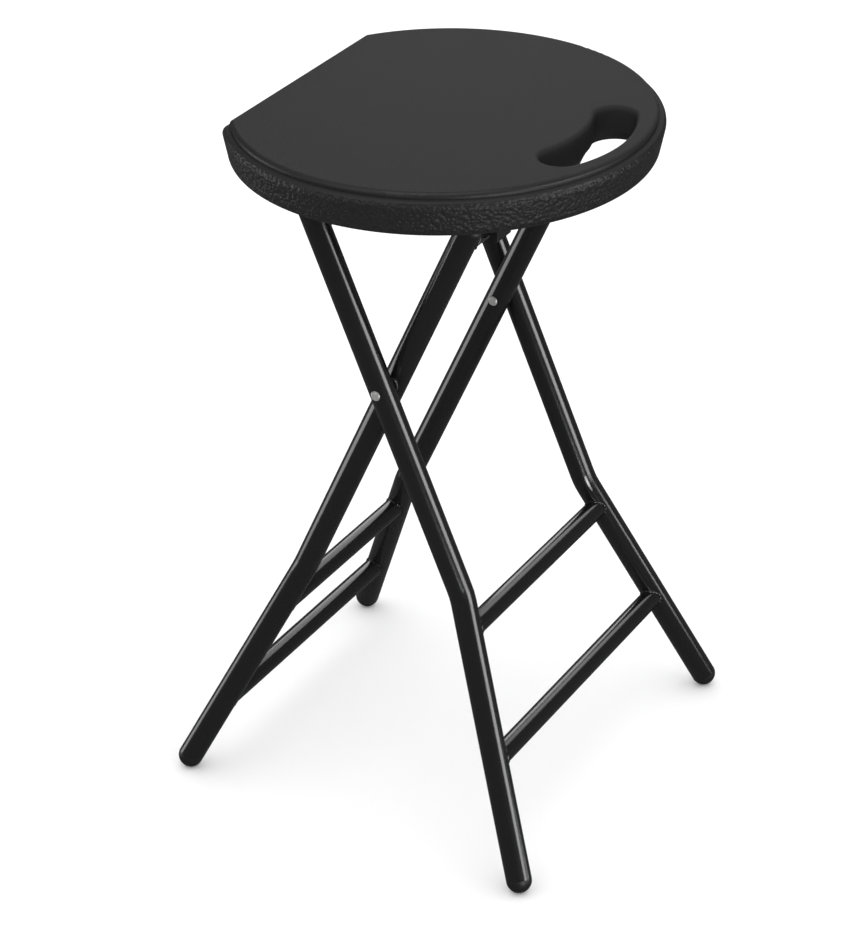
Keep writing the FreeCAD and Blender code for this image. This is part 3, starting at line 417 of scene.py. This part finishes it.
# radius and height in mm above the head's lowest face, out from its rim and in to the shank
HEAD_PROFILE = [(3.7, 0.25), (4.1, 0.8), (4.2, 1.5), (4.2, 2.6), (2.2, 2.6)]


def add_screw(shape, foot, top):
    """Adds one screw, head down, from its lowest point up to the height of its tip."""
    cross = []
    for quarter in range(4):
        turn = Matrix.Rotation(quarter * math.pi / 2, 3, "Z")
        for corner in ((RECESS_REACH, -RECESS_HALF), (RECESS_REACH, RECESS_HALF),
                       (RECESS_HALF, RECESS_HALF)):
            cross.append(shape.verts.new(foot + turn @ Vector((*corner, 0))))
    recess = shape.faces.new(cross)
    rim = list(recess.edges)
    pit = bmesh.ops.extrude_discrete_faces(shape, faces=[recess])["faces"]
    bmesh.ops.translate(shape, verts=pit[0].verts, vec=(0, 0, RECESS_DEPTH))
    bmesh.ops.scale(shape, verts=pit[0].verts, vec=(RECESS_TAPER, RECESS_TAPER, 1),
                    space=Matrix.Translation(-foot))
    loop = bmesh.ops.create_circle(shape, segments=HEAD_STEPS, radius=FACE_RADIUS)["verts"]
    bmesh.ops.translate(shape, verts=loop, vec=foot)
    ring = list({edge for vert in loop for edge in vert.link_edges})
    bmesh.ops.bridge_loops(shape, edges=rim + ring)
    rings = [(radius * MM, foot.z + height * MM) for radius, height in HEAD_PROFILE]
    rings += [(THREAD_RADIUS, top - POINT_LENGTH), (POINT_RADIUS, top)]
    for radius, height in rings:
        grown = bmesh.ops.extrude_edge_only(shape, edges=ring)["geom"]
        ring = [item for item in grown if isinstance(item, bmesh.types.BMEdge)]
        for vert in {vert for edge in ring for vert in edge.verts}:
            spoke = Vector((vert.co.x - foot.x, vert.co.y - foot.y)).normalized() * radius
            vert.co = (foot.x + spoke.x, foot.y + spoke.y, height)
    bmesh.ops.edgeloop_fill(shape, edges=ring)


for node, new_name in (("hinge_block_screws", "pan_screws_hinge"),
                       ("latch_block_screws", "pan_screws_latch"),
                       ("strap_screws", "pan_screws_strap")):
    low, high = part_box(node)
    shape = bmesh.new()
    for x in (low[0] + HEAD_RADIUS, high[0] - HEAD_RADIUS):
        for y in (low[1] + HEAD_RADIUS, high[1] - HEAD_RADIUS):
            add_screw(shape, Vector((x, y, low[2])), high[2])
    bmesh.ops.recalc_face_normals(shape, faces=shape.faces)
    screws = new_object(new_name, shape, zinc)
    screws.data.set_sharp_from_angle(angle=SHARP)
    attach(screws, "seat")
    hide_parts(node)


# Seat. Blow-moulded high-density polyethylene with carbon black. The mould gives the deck a fine
# matte grain, and the rim a glossier, coarse pebbled one, with painted shade that darkens the
# hollows between the pebbles. The deck, the handle and the underside stay free of pebbles.
PEBBLE = 3.0 * MM
PEBBLE_DEPTH = 1.1 * MM
WANDER = 4 * MM
WANDER_SHARE = 0.6
# the real grain is about 0.3 mm, too fine to show, so it is drawn at 1 mm
FINE_GRAIN = 1.0 * MM
FINE_SHARE = 0.2
# the pebbles lie outside this radius or past this chord, and this far below the deck
RIM_REACH = 165 * MM
CHORD_REACH = 135 * MM
SHOULDER_DROP = 6.5 * MM
SOFT_EDGE = 2 * MM

polyethylene, tree = new_material("blow_moulded_polyethylene")
coordinates = add(tree, "TexCoord")
place = coordinates.outputs["Object"]
spot = add(tree, "SeparateXYZ", {"Vector": place})
flat = add(tree, "CombineXYZ", {"X": spot.outputs["X"], "Y": spot.outputs["Y"]})
reach = add(tree, "VectorMath", {0: flat.outputs["Vector"]}, operation="LENGTH")
near_round = add(tree, "MapRange", {"Value": reach.outputs["Value"], "From Min": RIM_REACH,
                                    "From Max": RIM_REACH + SOFT_EDGE})
near_chord = add(tree, "MapRange", {"Value": spot.outputs["X"], "From Min": -CHORD_REACH,
                                    "From Max": -CHORD_REACH - SOFT_EDGE})
outside = add(tree, "Math", {0: near_round.outputs["Result"], 1: near_chord.outputs["Result"]},
              operation="MAXIMUM")
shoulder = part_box("seat_shell")[1][2] - SHOULDER_DROP
below = add(tree, "MapRange", {"Value": spot.outputs["Z"], "From Min": shoulder,
                               "From Max": shoulder - SOFT_EDGE})
facing = add(tree, "SeparateXYZ", {"Vector": coordinates.outputs["Normal"]})
level = add(tree, "Math", {0: facing.outputs["Z"]}, operation="ABSOLUTE")
upright = add(tree, "MapRange", {"Value": level.outputs[0], "From Min": 0.9, "From Max": 0.7})
on_side = add(tree, "Math", {0: outside.outputs[0], 1: upright.outputs["Result"]},
              operation="MULTIPLY")
on_rim = add(tree, "Math", {0: on_side.outputs[0], 1: below.outputs["Result"]},
             operation="MULTIPLY")
fine = add(tree, "TexNoise", {"Vector": place, "Scale": 1 / FINE_GRAIN, "Detail": 2.0})
wander = add(tree, "TexNoise", {"Vector": place, "Scale": 1 / WANDER, "Detail": 2.0})
pebbles = add(tree, "TexVoronoi", {"Vector": place, "Scale": 1 / PEBBLE, "Smoothness": 0.7},
              feature="SMOOTH_F1")
uneven = add(tree, "Math", {0: wander.outputs["Fac"], 1: WANDER_SHARE,
                            2: pebbles.outputs["Distance"]}, operation="MULTIPLY_ADD")
pebble_height = add(tree, "Math", {0: uneven.outputs[0], 1: on_rim.outputs[0]},
                    operation="MULTIPLY")
height = add(tree, "Math", {0: fine.outputs["Fac"], 1: FINE_SHARE, 2: pebble_height.outputs[0]},
             operation="MULTIPLY_ADD")
relief = add(tree, "Bump", {"Height": height.outputs[0], "Strength": 1.0,
                            "Distance": PEBBLE_DEPTH}, invert=True)
# painted shade: the colour goes darker in the hollows between the pebbles, where shade falls
painted_valley_shade = add(tree, "MapRange", {"Value": pebble_height.outputs[0], "From Min": 0.3,
                                 "From Max": 1.0})
tint = add(tree, "ValToRGB", {"Fac": painted_valley_shade.outputs["Result"]})
tint.color_ramp.elements[0].color = srgb("#212121")
tint.color_ramp.elements[1].color = srgb("#1b1b1b")
haze = add(tree, "MapRange", {"Value": on_side.outputs[0], "To Min": 0.78, "To Max": 0.42})
show(tree, add(tree, "BsdfPrincipled", {"Base Color": tint.outputs["Color"],
                                        "Roughness": haze.outputs["Result"],
                                        "Specular IOR Level": 0.3,
                                        "Normal": relief.outputs["Normal"]}))
finish_node("seat_shell", polyethylene)
